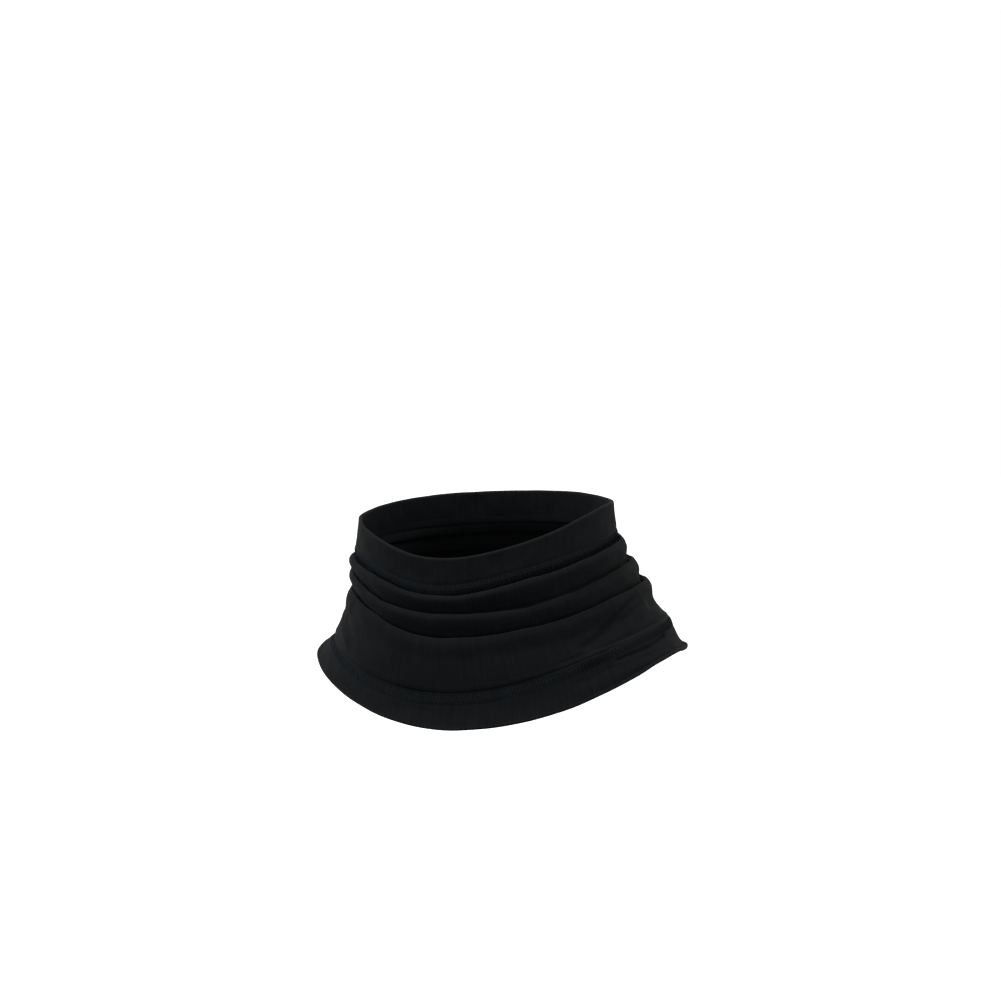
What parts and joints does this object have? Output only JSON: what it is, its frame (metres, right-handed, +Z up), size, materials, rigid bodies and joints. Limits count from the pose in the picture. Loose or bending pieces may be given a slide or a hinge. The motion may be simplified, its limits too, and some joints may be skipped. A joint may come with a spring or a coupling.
{
  "type": "neck gaiter",
  "caption": "Black stretch-knit neck gaiter as worn: a tube of cloth bunched into soft folds, with a stitched doubled hem round the neck and another over the shoulders.",
  "frame": {"origin": "centre of the neck opening, on the neck's axis where it passes through the top hem", "axes": "+Z up the neck, the wearer faces -Y, the wearer's left shoulder is at +X"},
  "size_m": [0.1668, 0.1549, 0.0979],
  "materials": {
    "black_knit": "matte fine-gauge stretch jersey"
  },
  "bodies": {
    "root": {"top_hem": "black_knit", "neck_tube": "black_knit", "bottom_hem": "black_knit"}
  },
  "joints": []
}
